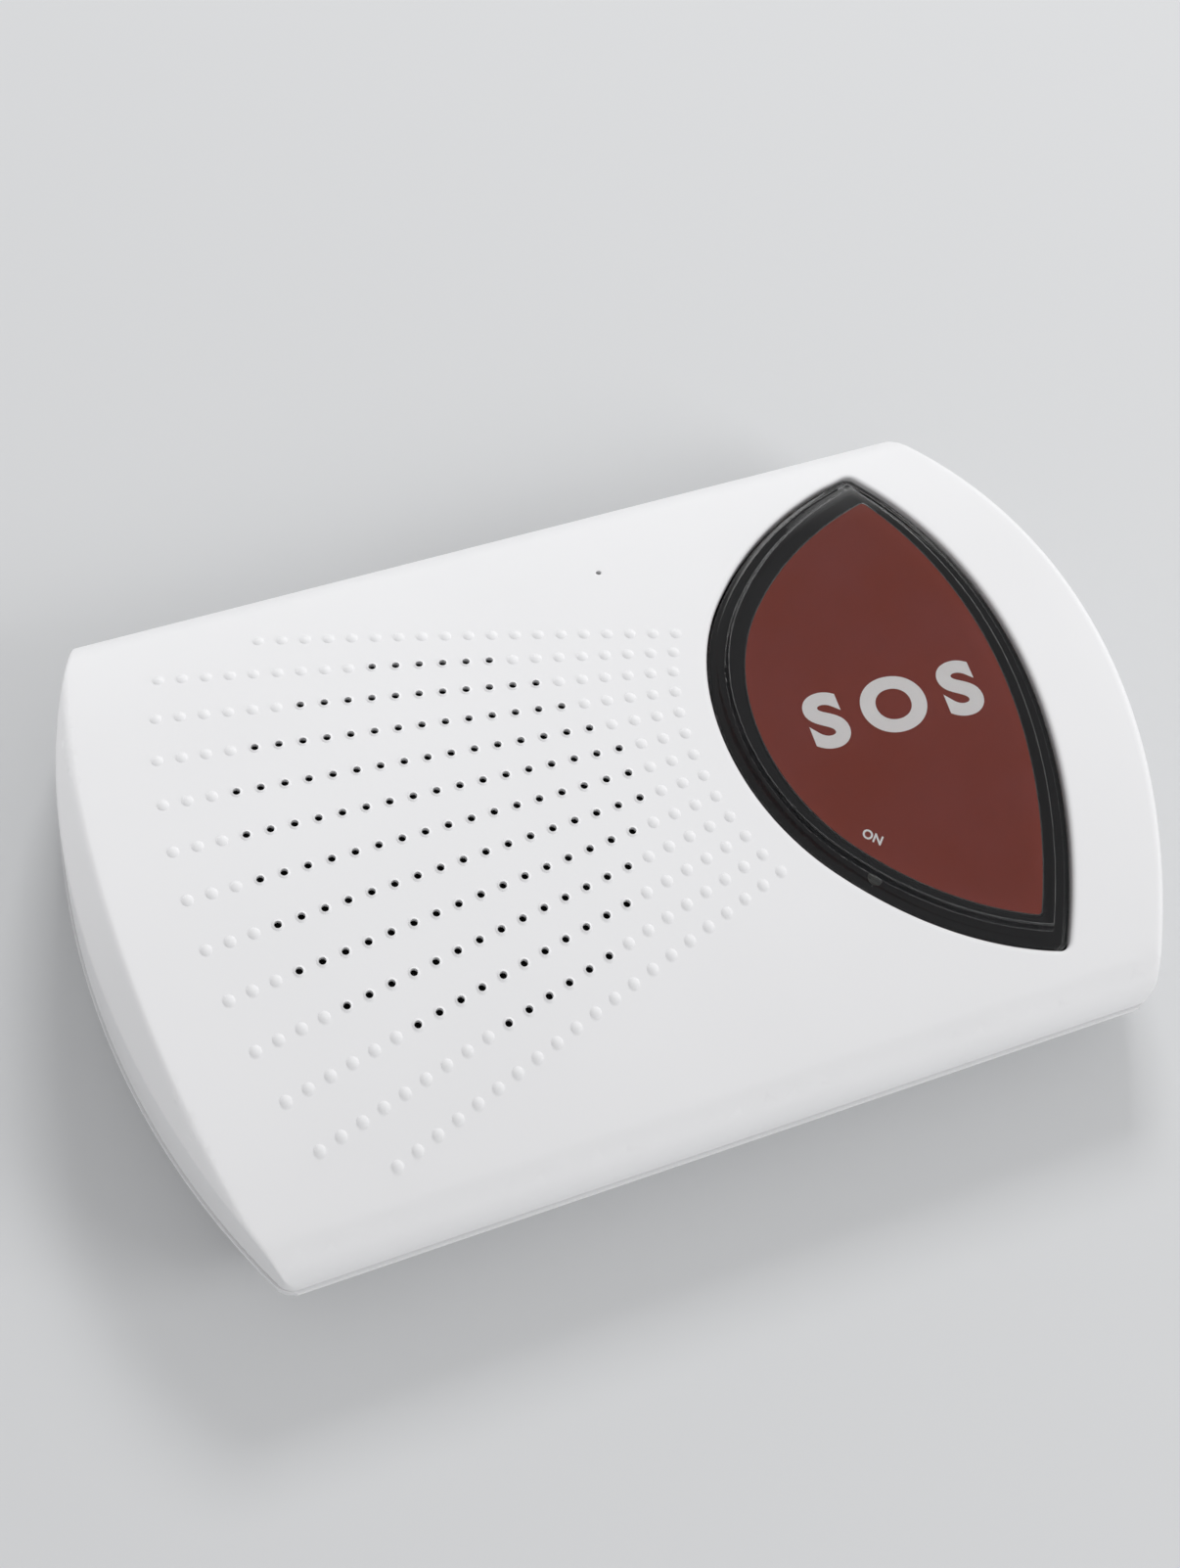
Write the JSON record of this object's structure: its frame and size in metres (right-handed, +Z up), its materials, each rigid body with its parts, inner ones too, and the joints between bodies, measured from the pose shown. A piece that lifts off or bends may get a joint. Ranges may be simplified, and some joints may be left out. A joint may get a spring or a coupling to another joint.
{
  "type": "medical alert base station",
  "caption": "White medical alert base station with a crowned case, a fan of raised and drilled speaker dots, a leaf-shaped red help button under a clear cap and a connector bay at the back.",
  "frame": {"origin": "middle of the bounding box in plan, at the underside of the feet", "axes": "+X along the length towards the help button, +Y to the back with the connectors, +Z up"},
  "size_m": [0.186, 0.1208, 0.0372],
  "materials": {
    "white_shell": "fine satin",
    "clear_cap": "clear polished",
    "red_print": "printed film",
    "dark_plastic": "polished",
    "clear_rod": "clear",
    "grey_plastic": "moulded",
    "black_plastic": "moulded",
    "nylon": "moulded",
    "red_plastic": "moulded",
    "zinc_screw": "zinc plated",
    "black_rubber": "matt",
    "silver_print": "printed film",
    "board_green": "solder mask",
    "chip_black": "moulded",
    "shield_steel": "tinned",
    "can_sleeve": "sleeve",
    "ferrite": "sintered",
    "copper": "bare wire",
    "antenna_film": "film",
    "black_cloth": "woven",
    "foam": "closed cell",
    "basket_steel": "black coat",
    "cone_paper": "pressed",
    "yoke_steel": "plated",
    "lead_red": "insulation",
    "lead_black": "insulation",
    "cell_wrap": "shrink wrap",
    "nickel": "strip",
    "pack_sleeve": "shrink sleeve",
    "ribbon": "flat cable",
    "led_clear": "clear",
    "card_white": "card",
    "tin_pin": "plated"
  },
  "bodies": {
    "base": {"top_cover": "white_shell", "bottom_cover": "white_shell", "battery_door": "white_shell", "door_screw": "zinc_screw", "rubber_feet": "black_rubber", "case_screws": "zinc_screw", "rating_label": "silver_print", "button_frame": "grey_plastic", "button_frame_screws": "zinc_screw", "button_board": "board_green", "button_board_screws": "zinc_screw", "tact_switch_bodies": "black_plastic", "status_led": "led_clear", "main_board": "board_green", "main_board_screws": "zinc_screw", "processor_chip": "chip_black", "memory_chip": "chip_black", "capacitors": "can_sleeve", "power_inductor": "ferrite", "cellular_module": "shield_steel", "sim_socket": "shield_steel", "sim_card": "card_white", "pendant_radio": "shield_steel", "pendant_antenna": "copper", "cellular_antenna": "antenna_film", "antenna_cable": "lead_black", "speaker_cloth": "black_cloth", "speaker_gasket": "foam", "speaker_basket": "basket_steel", "speaker_cone": "cone_paper", "speaker_dust_cap": "cone_paper", "voice_coil": "copper", "speaker_yoke": "yoke_steel", "speaker_magnet": "ferrite", "speaker_screws": "zinc_screw", "speaker_leads": "lead_red", "speaker_socket": "nylon", "microphone": "shield_steel", "microphone_boot": "black_rubber", "microphone_leads": "lead_black", "battery_cells": "cell_wrap", "battery_links": "nickel", "battery_sleeve": "pack_sleeve", "battery_pad": "foam", "battery_leads": "lead_red", "battery_plug": "nylon", "battery_socket": "nylon", "power_jack": "black_plastic", "jack_pin": "tin_pin", "power_switch_body": "black_plastic", "ribbon_cable": "ribbon", "ribbon_sockets": "nylon"},
    "help_button": {"button_lens": "clear_cap", "button_label": "red_print", "button_carrier": "dark_plastic", "status_light_pipe": "clear_rod"},
    "switch_stems": {"tact_switch_stems": "red_plastic"},
    "power_slider": {"power_switch_slider": "grey_plastic"}
  },
  "joints": [
    {"name": "help_button_press", "type": "slide", "parent": "base", "child": "help_button", "axis": [0, 0, -1], "range_m": [0, 0.001], "stiffness_N_per_m": 900, "springref_m": -0.001},
    {"name": "switch_stem_press", "type": "slide", "parent": "base", "child": "switch_stems", "axis": [0, 0, -1], "range_m": [0, 0.001], "stiffness_N_per_m": 400, "springref_m": -0.001},
    {"name": "power_switch_slide", "type": "slide", "parent": "base", "child": "power_slider", "axis": [1, 0, 0], "range_m": [0, 0.003]}
  ],
  "couplings": [
    {"joint": "switch_stem_press", "follows": "help_button_press", "ratio": 1}
  ]
}
